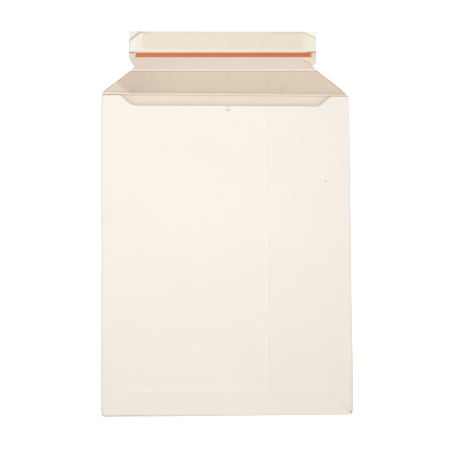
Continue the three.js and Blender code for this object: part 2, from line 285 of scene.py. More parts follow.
def blank_outline():
    notch_v = MOUTH_LINE + GUSSET + NOTCH_REACH
    top_v = MOUTH_LINE + FLAP
    notch = (LIP_RIGHT - NOTCH_RIGHT, notch_v)
    front_right = front_u(HALF_WIDTH - FRONT_RIGHT_INSET_BOTTOM)
    bottom = [
        (front_right, FRONT_BOTTOM + 3, 1),
        (front_right - 1.3, FRONT_BOTTOM, 0.4),
        (front_u(FRONT_STEP_RIGHT), FRONT_BOTTOM),
        (front_u(FRONT_STEP_LEFT), BOTTOM_FOLD),
        (LEFT_FOLD - FOLD / 2, BOTTOM_FOLD),
        (LEFT_FOLD - 0.1, FRONT_BOTTOM),
        (BOTTOM_LEFT - SLIT, FRONT_BOTTOM),
        (BOTTOM_LEFT - SLIT, BOTTOM_FOLD),
        (BOTTOM_LEFT, BOTTOM_FOLD),
        (BOTTOM_LEFT, BOTTOM_FOLD - FOLD),
        (BOTTOM_LEFT_END, bottom_v(BOTTOM_EDGE), GLUE_FLAP_RADIUS),
        (BOTTOM_RIGHT_END, bottom_v(BOTTOM_EDGE), GLUE_FLAP_RADIUS),
        (BOTTOM_RIGHT, BOTTOM_FOLD - FOLD),
        (BOTTOM_RIGHT, BOTTOM_FOLD),
        (RIGHT_FOLD, BOTTOM_FOLD),
    ]
    side = [
        (RIGHT_FOLD, SIDE_BOTTOM_AT_FOLD),
        (RIGHT_FOLD + FOLD, SIDE_BOTTOM_AT_FOLD),
        (side_u(SIDE_MITRE), SIDE_BOTTOM, GLUE_FLAP_RADIUS),
        (side_u(SIDE_EDGE), SIDE_BOTTOM, GLUE_FLAP_RADIUS),
        (side_u(SIDE_EDGE), SIDE_CORNER, GLUE_FLAP_RADIUS),
        (RIGHT_FOLD + FOLD, SIDE_TOP_AT_FOLD),
        (RIGHT_FOLD, SIDE_TOP_AT_FOLD),
    ]
    closing = [
        (RIGHT_FOLD, MOUTH_LINE),
        (RIGHT_FOLD - 7.9, MOUTH_LINE + 7.5),
        notch,
        *tab_cut_side(notch, 0),
        *tab_cut_side(notch, TAB_CUT)[-2::-1],
        (notch[0], notch_v + TAB_CUT),
        (LIP_RIGHT, notch_v + EAR_RIGHT_RISE, 1.2),
        (LIP_RIGHT, top_v - CHAMFER_RIGHT[1], CHAMFER_RADIUS),
        (LIP_RIGHT - CHAMFER_RIGHT[0], top_v, CHAMFER_RADIUS),
        (LIP_LEFT + CHAMFER_LEFT[0], top_v, 0.8),
        (LIP_LEFT, top_v - CHAMFER_LEFT[1], 0.8),
        (LIP_LEFT, notch_v + EAR_LEFT_RISE, EAR_RADIUS),
        (LIP_LEFT + NOTCH_LEFT, notch_v),
        (LEFT_FOLD + 4.1, MOUTH_LINE + GUSSET_LEFT_STEP + 4.9),
        (LEFT_FOLD, MOUTH_LINE + GUSSET_LEFT_STEP),
        (LEFT_FOLD, MOUTH_LINE),
    ]
    front = [
        (LEFT_FOLD, FRONT_TOP_LEFT),
        (front_u(MOUTH_LEFT), FRONT_TOP_LEFT, 2),
        (front_u(MOUTH_LEFT + MOUTH_LEFT_RUN), MOUTH_BOTTOM, MOUTH_RADIUS),
        (front_u(MOUTH_RIGHT - MOUTH_RIGHT_RUN), MOUTH_BOTTOM, MOUTH_RADIUS),
        (front_u(MOUTH_RIGHT), FRONT_TOP_RIGHT, 2),
        (front_u(HALF_WIDTH - FRONT_RIGHT_INSET_TOP), FRONT_TOP_RIGHT),
    ]
    return rounded_outline([*bottom, *side, *closing, *front])


def clip_side(polygon, axis, limit, sign):
    kept = []
    for i, point in enumerate(polygon):
        after = polygon[(i + 1) % len(polygon)]
        here = sign * (point[axis] - limit)
        there = sign * (after[axis] - limit)
        if here >= 0:
            kept.append(point)
        if here * there < 0:
            share = here / (here - there)
            cut = [point[k] + (after[k] - point[k]) * share for k in (0, 1)]
            cut[axis] = limit
            kept.append(tuple(cut))
    return kept


def clip_between(polygon, axis, low, high):
    for limit, sign in ((low, 1), (high, -1)):
        if limit is not None:
            polygon = clip_side(polygon, axis, limit, sign)
    return polygon


def distinct(lines, near):
    kept = []
    for line in sorted(lines):
        if not kept or line - kept[-1] > near:
            kept.append(line)
    return kept


def parted(cell):
    """The separate parts of a cell that clipping has left joined by a line run both ways."""
    runs = []
    for a, b in zip(cell, cell[1:] + cell[:1]):
        stops = {a, b}
        for axis in (0, 1):
            if a[axis] == b[axis]:
                low, high = sorted((a[1 - axis], b[1 - axis]))
                stops |= {p for p in cell if p[axis] == a[axis] and low < p[1 - axis] < high}
        stops = sorted(stops, key=lambda p: math.dist(a, p))
        runs += zip(stops, stops[1:])
    after = dict(run for run in runs if run[::-1] not in runs)
    parts = []
    while after:
        start, here = after.popitem()
        part = [start]
        while here != start:
            part.append(here)
            here = after.pop(here, start)
        parts.append(part)
    return parts


def cells_of(outline, u_lines, v_lines):
    cells = []
    u_spans = [None, *u_lines, None]
    v_spans = [None, *v_lines, None]
    for u_low, u_high in zip(u_spans, u_spans[1:]):
        strip = tidy_polygon(clip_between(outline, 0, u_low, u_high))
        for v_low, v_high in zip(v_spans, v_spans[1:]):
            if len(strip) < 3:
                break
            for cell in parted(tidy_polygon(clip_between(strip, 1, v_low, v_high))):
                if len(cell) > 2 and polygon_area(cell) > TINY:
                    cells.append(cell)
            if v_high is not None:
                strip = clip_side(strip, 1, v_high, 1)
    return cells


def polygon_area(polygon):
    return sum(
        a[0] * b[1] - b[0] * a[1] for a, b in zip(polygon, polygon[1:] + polygon[:1])) / 2


def steps_between(start, end, pitch):
    count = max(1, round(abs(end - start) / pitch))
    return [start + (end - start) * i / count for i in range(count + 1)]


def divided(start, *spans):
    """Lines from start on, through spans that are given by their ends and pitches."""
    lines = []
    for end, pitch in spans:
        lines += steps_between(start, end, pitch)
        start = end
    return lines


def sheet_lines():
    """Lines along which the flat sheet is divided, close together where it bends."""
    front_x = divided(
        LEFT_FOLD, (LEFT_FOLD + 6, 1), (34, 3.8), (39, 1), (45, 0.3), (100, 3.6), (122, 1))
    u_lines = [
        *steps_between(LEFT_FOLD, LEFT_FOLD - FOLD, FOLD_PITCH),
        *steps_between(RIGHT_FOLD, RIGHT_FOLD + FOLD, FOLD_PITCH),
        *map(front_u, front_x),
        *steps_between(LEFT_FOLD, RIGHT_FOLD, 4),
        *steps_between(RIGHT_FOLD + FOLD, side_u(SIDE_EDGE), 5),
    ]
    upper_crease = MOUTH_LINE + GUSSET
    v_lines = divided(
        bottom_v(BOTTOM_EDGE), (BOTTOM_FOLD - FOLD, 4), (BOTTOM_FOLD, FOLD_PITCH), (-142, 1),
        (-132, 0.5), (120, 4), (146, 2.5), (MOUTH_LINE - 2, 1), (MOUTH_LINE + 4.4, 0.2),
        (upper_crease - 2, 2), (upper_crease + 2, 0.2), (MOUTH_LINE + FLAP, 2))
    v_lines += [SIDE_BOTTOM_AT_FOLD, SIDE_TOP_AT_FOLD]
    return distinct(u_lines, 0.02), distinct(v_lines, 0.02)


def side_relief(x, y):
    """Rise of the front panel over the side flap, from 0 to 1."""
    above = max(y - SIDE_CORNER - RELIEF_MARGIN, 0)
    ramp = RELIEF_RAMP + above * RELIEF_MOUTH_SPREAD
    full = SIDE_EDGE + above * RELIEF_MOUTH_SHIFT
    return smooth((x - full + ramp) / ramp)


def bottom_relief(x, y):
    """The same over the bottom flap."""
    end_line = BOTTOM_LEFT + y - BOTTOM_FOLD - RELIEF_END_MARGIN
    along = smooth((x - end_line + RELIEF_END_RAMP) / RELIEF_END_RAMP)
    return along * smooth((BOTTOM_EDGE + RELIEF_RAMP - y) / RELIEF_RAMP)


# How strongly the side flap's edge shows, from the bottom up:
# place, ridge left of the edge, groove on it, ridge right of it
SIDE_LINE = [
    (-139, 0, 0, 0), (-134, 0.12, 0.13, 0), (-110, 0.2, 0.15, 0),
    (-88, 0.16, 0.14, 0), (-82, 0.03, 0.05, 0), (-60, 0.02, 0.06, 0.02),
    (-52, 0.05, 0.22, 0.1), (-38, 0.04, 0.24, 0.12), (-22, 0.03, 0.2, 0.04),
    (-18, 0.02, 0.14, 0.06), (8, 0.02, 0.12, 0.05), (14, 0.01, 0.09, 0.01),
    (40, 0.01, 0.07, 0), (46, 0.05, 0.04, 0.03), (58, 0.08, 0.06, 0),
    (64, 0.16, 0.12, 0), (100, 0.18, 0.14, 0), (130, 0.14, 0.1, 0),
    (137.5, 0, 0, 0),
]

# How strongly the bottom flap's edge shows, from the left: place, ridge, groove
BOTTOM_LINE = [
    (-94, 0, 0), (-88, 0.12, 0.12), (-62, 0.12, 0.12), (-56, 0.08, 0.06),
    (-30, 0.05, 0.06), (-24, 0.01, 0.03), (18, 0.01, 0.02), (24, 0.12, 0.05),
    (40, 0.12, 0.04), (50, 0.02, 0.05), (102, 0, 0.03), (106, 0, 0),
]

# How dark the painted shadow along the front panel's bottom border is, from the left: place,
# strength
BOTTOM_BORDER = [
    (-122, 1.2), (-106, 1.8), (-88, 2.8), (-62, 2.4),
    (-28, 1.7), (22, 0.6), (75, 0.5), (108, 0),
]


def bottom_line_offset(x, y):
    """Distance below the line that the bottom flap's edge has pressed, a little aslant."""
    return BOTTOM_EDGE + 0.9 + 0.006 * (x + 92) - y + 0.15 * grain(x, 0, 13, 3)


def pressed_lines(x, y):
    """Fine relief where the edges of the glue flaps have been pressed through."""
    lift = 0.0
    if abs(x - SIDE_EDGE) < 5:
        left, groove, right = between(SIDE_LINE, y)
        off = x - SIDE_EDGE + 0.12 * grain(0, y, 11, 1)
        lively = 1 + 0.25 * grain(0, y, 5, 2)
        lift += lively * (left * bump(off + 0.8, 0.5) - groove * bump(off - 0.4, 0.35))
        lift += lively * right * bump(off - 1.5, 0.5)
    if abs(y - BOTTOM_EDGE) < 6:
        ridge, groove = between(BOTTOM_LINE, x)
        off = bottom_line_offset(x, y)
        lively = 1 + 0.25 * grain(x, 0, 6, 4)
        lift += lively * (ridge * bump(off + 0.75, 0.6) - groove * bump(off - 0.35, 0.45))
        trough = smooth((x - 56) / 8) * smooth((106 - x) / 6)
        lift -= 0.13 * trough * bump(y + 139.3, 1.6)
    return lift


def mitre_groove(x, y):
    """The front panel sunk into the gap between the mitred ends of the two glue flaps."""
    along = (x - y) / math.sqrt(2)
    across = (x + y + 36.0) / math.sqrt(2)
    strength = smooth((along - 178) / 14) * smooth((203 - along) / 4)
    return -0.34 * strength * bump(across, 1.1)


def front_lift(x, y):
    """Height of the front panel above its place on an empty, flat pocket."""
    side, bottom = side_relief(x, y), bottom_relief(x, y)
    lift = RELIEF * (1 - (1 - side) * (1 - bottom))
    lift -= 0.1 * smooth((x - 112) / 8)
    inward = smooth((x + HALF_WIDTH) / 40) * smooth((HALF_WIDTH - x) / 30)
    gape = GAPE * smooth((y - 80) / 70) * smooth((x + 121) / 34) * smooth((121 - x) / 60)
    pillow = PILLOW * inward * smooth((y + 160) / 40)
    waves = 0.16 * grain(x, y, 90, 5) + 0.05 * grain(x, y, 34, 6)
    lift += gape + pillow + waves * inward * smooth((y + 160) / 25)
    lift += pressed_lines(x, y) + mitre_groove(x, y)
    lift -= 0.10 * bump(math.hypot(x + 118, y - 150) - 7.5, 1.2) * smooth((y - 149) / 6)
    return lift


def fold_over(distance, depth):
    angle = clamp(distance / NEUTRAL_RADIUS, 0.0, math.pi)
    radius = OUTER_RADIUS - depth
    beyond = max(distance - FOLD, 0.0)
    return radius * math.sin(angle) - beyond, OUTER_RADIUS - radius * math.cos(angle)


CREASES = [(0.0, GUSSET_TILT), (GUSSET, LIP_TILT)]


def flap_path(distance):
    """Middle of the sheet and its tilt at a distance up the closing flap."""
    y, z, tilt, walked = MOUTH_LINE, BOARD / 2, 0.0, 0.0

    def walk_to(target):
        nonlocal y, z, walked
        length = min(target, distance) - walked
        y += length * math.cos(tilt)
        z += length * math.sin(tilt)
        walked += length

    for at, next_tilt in CREASES:
        turn = next_tilt - tilt
        half = abs(turn) * CREASE_RADIUS / 2
        walk_to(at - half)
        share = clamp((distance - at + half) / (2 * half))
        tilt += turn * share / 2
        walk_to(at + half)
        tilt += turn * share / 2
    walk_to(distance)
    return y, z, tilt


def bead_lift(x, distance):
    """Ridges pushed up on the inner side by the scoring rule, with a flat shoulder above."""
    lively = 1 + 0.18 * grain(x, 0, 22, 7)
    mouth = distance + MOUTH_CREASE_SLOPE * x
    lift = lively * (0.62 * bump(mouth - 0.95, 0.55) - 0.25 * bump(mouth - 2.6, 0.9))
    upper = distance - GUSSET
    return lift + lively * 0.36 * bump(upper + 0.2, 0.5)


def flap_skew(x, distance):
    """The closing flap sits slightly turned on its mouth crease."""
    return SKEW * x * smooth(distance / SKEW_RISE)


def lip_wave(x, distance):
    """Slow waves of the closing flap, which the films on its lip follow."""
    return 0.10 * grain(x, distance, 60, 8) * smooth(distance / 12)


def off_flap(x, distance, offset):
    """The point at a distance up the closing flap and an offset from the sheet's middle."""
    y, z, tilt = flap_path(distance)
    return x, y - offset * math.sin(tilt) + flap_skew(x, distance), z + offset * math.cos(tilt)


def place_on_flap(x, v, depth):
    distance = v - MOUTH_LINE
    offset = depth - BOARD / 2 + bead_lift(x, distance) + lip_wave(x, distance)
    x, y, z = off_flap(x, distance, offset)
    return x, y, z + tab_lift(x, distance) * smooth((distance - GUSSET) / 8)


def wear_and_shade_at(u, v):
    """Wear and painted light at a point of the sheet: painted shade in pressed lines (above zero)
    and painted highlight beside them (below zero), rubbed folds with painted shade along them and
    along the front panel's bottom border, and creases with painted highlight and shade in the same
    two tones."""
    x = front_u(u)
    pressed_light_and_shade = 0.0
    if u < LEFT_FOLD - FOLD:
        if abs(x - SIDE_EDGE) < 4:
            left, groove, right = between(SIDE_LINE, v)
            off = x - SIDE_EDGE + 0.12 * grain(0, v, 11, 1)
            lively = 1 + 0.3 * grain(0, v, 4, 2)
            pressed_light_and_shade += 6 * groove * lively * bump(off - 0.5, 0.36)
            pressed_light_and_shade -= 3 * left * lively * bump(off + 1.0, 0.6)
            pressed_light_and_shade -= 4 * right * lively * bump(off - 1.5, 0.5)
        if abs(v - BOTTOM_EDGE) < 4:
            ridge, groove = between(BOTTOM_LINE, x)
            off = bottom_line_offset(x, v)
            lively = 1 + 0.5 * grain(x, 0, 3, 4)
            pressed_light_and_shade += 5.5 * groove * lively * bump(off - 0.45, 0.5)
            pressed_light_and_shade -= 2 * ridge * lively * bump(off + 1.0, 0.6)
        trough = smooth((x - 56) / 6) * smooth((112 - x) / 6)
        pressed_light_and_shade += 0.3 * trough * bump(v + 139.6, 2.6)
        pressed_light_and_shade -= 3.2 * min(mitre_groove(x, v), 0)
    right_fold_strength = 0.4 + 0.9 * smooth((-118 - v) / 14)
    rubbed_fold_and_shade = max(bump(u - LEFT_FOLD + FOLD + 0.2, 0.7),
               right_fold_strength * bump(u - RIGHT_FOLD - FOLD / 2, 0.7),
               0.4 * bump(v - BOTTOM_FOLD + FOLD / 2, 0.8))
    if u < LEFT_FOLD - FOLD / 2 and v < -150:
        step = (FRONT_STEP_RIGHT - x) / (FRONT_STEP_RIGHT - FRONT_STEP_LEFT)
        border = FRONT_BOTTOM + FRONT_BOTTOM_DROP * clamp(step)
        rubbed_fold_and_shade += between(BOTTOM_BORDER, x)[0] * bump(v - border, 0.6)
    mouth = v - MOUTH_LINE + MOUTH_CREASE_SLOPE * u
    upper = v - MOUTH_LINE - GUSSET
    beside_mouth = smooth((abs(u) - 98) / 9)
    crease_light_and_shade = 0.9 * bump(upper + 0.75, 0.4) - 0.7 * bump(upper - 0.4, 0.6)
    crease_light_and_shade += max(beside_mouth, 0.5) * bump(mouth + 0.25, 0.45) - bump(mouth - 0.9, 0.5)
    return clamp(pressed_light_and_shade, -1.0), rubbed_fold_and_shade, clamp(crease_light_and_shade, -1.0)


def tab_lift(x, distance):
    """The half-moon tear tab stands up a little between its cut and the ear's edge."""
    reach_x = x - (LIP_RIGHT - NOTCH_RIGHT - TAB_RUN)
    reach_v = distance - (GUSSET + NOTCH_REACH)
    cut = TAB_RISE * (1 - clamp(reach_x / TAB_RUN))
    if reach_x <= 0 or reach_v < cut:
        return 0.0
    return 0.35 * smooth(reach_x / TAB_RUN) * smooth((11 - reach_v) / 8)


# Place of the corner, how far it is knocked in, how far along the borders that reaches
KNOCKED_CORNERS = [
    (-HALF_WIDTH, BOTTOM_FOLD, 0.8, 2.4), (HALF_WIDTH, -MOUTH_LINE, 0.4, 1.6),
    (-HALF_WIDTH, MOUTH_LINE, 0.12, 1.2), (HALF_WIDTH, MOUTH_LINE, 0.12, 1.2),
]


def blunted(x, y):
    """Corners of the closed body, knocked in a little by handling."""
    for corner_x, corner_y, amount, reach in KNOCKED_CORNERS:
        away = abs(x - corner_x) + abs(y - corner_y)
        if away < 6 * reach:
            shift = amount * math.exp(-away / reach)
            x -= math.copysign(shift, corner_x)
            y -= math.copysign(shift, corner_y)
    return x, y


def bowed(x, y):
    """The long borders of the body bow out a little, the left one in its upper half."""
    left = BOW_LEFT * smooth((y - 5) / 70) * smooth((157 - y) / 12) * smooth((-x - 60) / 60)
    right = BOW_RIGHT * bump(y + 110, 28) * smooth((x - 60) / 60)
    return x - left + right


def place_on_pack(u, v, depth):
    if v > MOUTH_LINE - BEAD_REACH and LEFT_FOLD <= u <= RIGHT_FOLD:
        return place_on_flap(u, v, depth)
    x, y, z = u, v, depth
    if u < LEFT_FOLD:
        out, z = fold_over(LEFT_FOLD - u, depth)
        x = LEFT_FOLD - out
        share = clamp((LEFT_FOLD - u) / FOLD)
        if share > 0.5:
            z += smooth(2 * share - 1) * front_lift(max(x, LEFT_FOLD), v)
    elif u > RIGHT_FOLD:
        out, z = fold_over(u - RIGHT_FOLD, depth)
        x = RIGHT_FOLD + out
    elif v < BOTTOM_FOLD and u > BOTTOM_LEFT - SLIT / 2:
        out, z = fold_over(BOTTOM_FOLD - v, depth)
        y = BOTTOM_FOLD - out
    x, y = blunted(x, y)
    return bowed(x, y), y, z


def add_attribute(mesh, name, values):
    attribute = mesh.attributes.new(name, "FLOAT_VECTOR", "POINT")
    attribute.data.foreach_set("vector", [number for value in values for number in value])


def new_object(name, points, faces, materials, face_material=None, sharp=()):
    """A mesh object with smooth faces, sharp along the edges that are given."""
    mesh = bpy.data.meshes.new(name)
    mesh.from_pydata([[value * MM for value in point] for point in points], [], faces)
    for material in materials:
        mesh.materials.append(material)
    if face_material:
        mesh.polygons.foreach_set("material_index", face_material)
    mesh.polygons.foreach_set("use_smooth", [True] * len(mesh.polygons))
    sharp = set(sharp)
    if sharp:
        for edge in mesh.edges:
            a, b = edge.vertices
            edge.use_edge_sharp = (a, b) in sharp or (b, a) in sharp
    mesh.update()
    return add_object(name, mesh)


def index_cells(cells):
    points, known, faces = [], {}, []
    for cell in cells:
        face = []
        for point in cell:
            key = (round(point[0] * 1e4), round(point[1] * 1e4))
            if key not in known:
                known[key] = len(points)
                points.append(point)
            if not face or face[-1] != known[key]:
                face.append(known[key])
        if face[0] == face[-1]:
            face.pop()
        if len(face) > 2:
            faces.append(face)
    return points, faces


def rim_loops(faces):
    """Edges that only one face has, each in the direction that the outline runs."""
    directed = {(a, b) for face in faces for a, b in zip(face, face[1:] + face[:1])}
    return [(a, b) for a, b in directed if (b, a) not in directed]


def inward_at(points, rim):
    """For each point of the rim, the direction into the sheet."""
    inward = {}
    for a, b in sorted(rim):
        along = Vector(points[b]) - Vector(points[a])
        normal = Vector((-along.y, along.x)).normalized()
        for end in (a, b):
            inward[end] = inward.get(end, Vector((0, 0))) + normal
    return {point: normal.normalized() for point, normal in inward.items()}


def sheet_solid(name, outline, u_lines, v_lines, place, thickness, arris, materials):
    """A closed sheet with an inner side, an outer side and a cut edge with softened
    arrises. place takes a point of the flat sheet and a depth from the outer side."""
    flat, faces = index_cells(cells_of(outline, u_lines, v_lines))
    rim = rim_loops(faces)
    inward = inward_at(flat, rim)
    inset = [
        (p[0] + arris * inward[i].x, p[1] + arris * inward[i].y) if i in inward else p
        for i, p in enumerate(flat)]
    sheet = [(u, v, depth) for depth in (thickness, 0) for u, v in inset]
    count = len(flat)
    ring = sorted(inward)
    rows = [{i: i for i in ring}]
    for share in (1 - arris / thickness, 0.5, arris / thickness):
        rows.append({i: len(sheet) + k for k, i in enumerate(ring)})
        sheet += [(*flat[i], thickness * share) for i in ring]
    rows.append({i: i + count for i in ring})
    all_faces = [*faces, *([i + count for i in reversed(face)] for face in faces)]
    kinds = [0] * len(faces) + [1] * len(faces)
    for upper, lower in zip(rows, rows[1:]):
        for a, b in sorted(rim):
            all_faces.append([lower[a], lower[b], upper[b], upper[a]])
            kinds.append(2)
    sharp = rim + [(a + count, b + count) for a, b in rim]
    piece = new_object(name, [place(*point) for point in sheet], all_faces, materials,
                       kinds if len(materials) > 1 else None, sharp)
    add_attribute(piece.data, "sheet", [[value * MM for value in point] for point in sheet])
    return piece


class Shader:
    """Builds one node material. tint lays colours over the base colour."""

    def __init__(self, name, colour):
        self.material = bpy.data.materials.new(name)
        self.material.use_nodes = True
        self.tree = self.material.node_tree
        self.surface = self.tree.nodes["Principled BSDF"]
        self.colour = colour

    def node(self, kind, links=None, **settings):
        made = self.tree.nodes.new("ShaderNode" + kind)
        for key, value in settings.items():
            setattr(made, key, value)
        for key, value in (links or {}).items():
            self.feed(made.inputs[key], value)
        return made

    def feed(self, socket, value):
        if isinstance(value, bpy.types.NodeSocket):
            self.tree.links.new(value, socket)
        elif value is not None:
            socket.default_value = value

    def math(self, operation, a, b=0.0):
        return self.node("Math", {0: a, 1: b}, operation=operation).outputs[0]

    def plus(self, a, b):
        return self.math("ADD", a, b)

    def minus(self, a, b):
        return self.math("SUBTRACT", a, b)

    def times(self, a, b, *more):
        product = self.math("MULTIPLY", a, b)
        return self.times(product, *more) if more else product

    def remap(self, value, low, high, to_low=0.0, to_high=1.0):
        """Clamped change of range."""
        links = {0: value, 1: low, 2: high, 3: to_low, 4: to_high}
        return self.node("MapRange", links).outputs[0]

    def ramp(self, place, low, high, to_low=0.0, to_high=1.0):
        """The same for a place, with its limits in millimetres."""
        return self.remap(place, low * MM, high * MM, to_low, to_high)

    def noise(self, coordinates, scale, detail=2.0, roughness=0.5, seed=0.0):
        """Noise with one scale, or with one for each direction."""
        if isinstance(scale, tuple):
            coordinates = self.node(
                "VectorMath", {0: coordinates, 1: scale}, operation="MULTIPLY").outputs[0]
            scale = 1.0
        made = self.node("TexNoise", {
            "Vector": coordinates, "Scale": scale, "Detail": detail,
            "Roughness": roughness, "W": seed}, noise_dimensions="4D")
        return made.outputs["Fac"]

    def mix(self, share, first, second, blend="MIX"):
        links = {0: share, 6: first, 7: second}
        return self.node("Mix", links, data_type="RGBA", blend_type=blend).outputs[2]

    def tint(self, share, colour, blend="MIX"):
        self.colour = self.mix(share, self.colour, colour, blend)

    def attribute(self, name):
        return self.node("Attribute", attribute_name=name).outputs["Vector"]

    def split(self, vector):
        made = self.node("SeparateXYZ", {0: vector})
        return made.outputs[0], made.outputs[1], made.outputs[2]

    def past_line(self, x, y, point, normal):
        """Distance past a line through a point, on the side that its normal points to."""
        length = math.hypot(*normal)
        return self.plus(self.times(self.minus(x, point[0] * MM), normal[0] / length),
                         self.times(self.minus(y, point[1] * MM), normal[1] / length))

    def box(self, x, y, centre, half, soft):
        """One inside a small rectangle, with soft borders. All in millimetres."""
        inside = [
            self.ramp(self.math("ABSOLUTE", self.minus(coordinate, middle * MM)),
                      reach - soft, reach + soft, 1, 0)
            for coordinate, middle, reach in zip((x, y), centre, half)]
        return self.times(*inside)

    def spot(self, x, y, centre, radius, soft):
        """One inside a small round spot, with a soft border. All in millimetres."""
        across = self.minus(x, centre[0] * MM)
        up = self.minus(y, centre[1] * MM)
        square = self.plus(self.times(across, across), self.times(up, up))
        return self.ramp(self.math("SQRT", square), radius - soft, radius + soft, 1, 0)

    def bump(self, height, strength, distance, under=None):
        """Small relief, with its distance in millimetres, over an earlier one."""
        return self.node("Bump", {
            "Height": height, "Strength": strength, "Distance": distance * MM,
            "Normal": under}).outputs[0]

    def finish(self, specular, roughness, normal=None):
        """The material, with the tints as its base colour."""
        for name, value in (("Base Color", self.colour), ("Specular IOR Level", specular),
                            ("Roughness", roughness), ("Normal", normal)):
            self.feed(self.surface.inputs[name], value)
        return self.material


def srgb(red, green, blue):
    """A colour given in display values from 0 to 255, as the shaders want it."""
    def linear(value):
        value /= 255
        return value / 12.92 if value <= 0.04045 else ((value + 0.055) / 1.055) ** 2.4
    return (linear(red), linear(green), linear(blue), 1.0)


def scaled(colour, factor):
    return (*(min(value * factor, 1.0) for value in colour[:3]), 1.0)


OUTER_WHITE = (0.942, 0.893, 0.820, 1.0)
INNER_CREAM = (0.885, 0.774, 0.650, 1.0)
TAPE_ORANGE = srgb(211, 110, 61)

# Places on the closing flap: across from the middle, and up from the mouth line
NOTCH_LEFT_POINT = (LIP_LEFT + NOTCH_LEFT, GUSSET + NOTCH_REACH)
NOTCH_RIGHT_POINT = (LIP_RIGHT - NOTCH_RIGHT, GUSSET + NOTCH_REACH)
SLOPED_EDGES = [((LEFT_FOLD, GUSSET_LEFT_STEP), NOTCH_LEFT_POINT),
                (NOTCH_RIGHT_POINT, (RIGHT_FOLD, 0))]
# The gusset's left corner, lightened with painted light, is bounded by a line: a point on it, its
# normal
LIT_CORNER_LINE = ((-108.2, 14.3), (0.743, 0.669))
# Clusters of rolled lines on the gusset: middle, height, strength
ROLLED_LINES = [(-79, 22, 0.7), (-38.5, 4, 0.8), (-25, 18, 0.7), (42.4, 15, 0.8), (56.3, 6, 1)]


def outer_board():
    """The white coated side, with the printer's cross and two stray specks."""
    s = Shader("board_outer_white", scaled(OUTER_WHITE, 0.985))
    sheet = s.attribute("sheet")
    u, v, _ = s.split(sheet)
    x = s.minus(front_u(0) * MM, u)
    clouds = s.noise(sheet, 14, 3)
    mottle = s.noise(sheet, 160, 4, 0.6)
    fibres = s.noise(sheet, (2600, 700, 1), 5, 0.65)
    pits = s.noise(sheet, 3200, 2)
    s.tint(s.remap(clouds, 0.3, 0.7), scaled(OUTER_WHITE, 1.012))
    s.tint(s.remap(mottle, 0.35, 0.65, 0, 0.5), (0.925, 0.882, 0.818, 1))
    s.tint(s.remap(fibres, 0.56, 0.75, 0, 0.28), (0.86, 0.81, 0.74, 1))
    bar = s.box(x, v, (1.5, 144.7), (3.4, 0.34), 0.2)
    stem = s.box(x, v, (1.5, 146.4), (0.34, 3.8), 0.2)
    cross = s.times(s.math("MAXIMUM", bar, stem), s.remap(pits, 0.3, 0.6, 0.45, 0.85))
    s.tint(cross, srgb(184, 180, 164))
    faint = s.times(s.spot(x, v, (105.4, 87.4), 0.45, 0.3), 0.3)
    specks = s.math("MAXIMUM", s.spot(x, v, (99.8, 73.1), 0.62, 0.3), faint)
    s.tint(s.times(specks, 0.85), srgb(120, 112, 98))
    pressed_light_and_shade, rubbed_fold_and_shade, _ = s.split(s.attribute("wear_and_shade"))
    # Folds rubbed grey, with painted shade along the folds and along the front panel's bottom
    # border
    rubbed = s.times(rubbed_fold_and_shade, s.remap(s.noise(sheet, 420, 4, 0.65), 0.35, 0.65, 0.1, 0.5))
    s.tint(rubbed, srgb(188, 183, 180))
    # Painted shade in the pressed lines, and painted highlight on the ridges beside them
    s.tint(s.remap(pressed_light_and_shade, 0, 1, 0, 0.11), srgb(110, 102, 92))
    s.tint(s.remap(pressed_light_and_shade, 0, -1, 0, 0.6), (0.985, 0.955, 0.9, 1))
    relief = s.plus(s.times(fibres, 0.6), s.times(pits, 0.4))
    normal = s.bump(mottle, 0.15, 0.3, s.bump(relief, 0.22, 0.06))
    return s.finish(0.35, s.remap(mottle, 0.3, 0.7, 0.52, 0.66), normal)


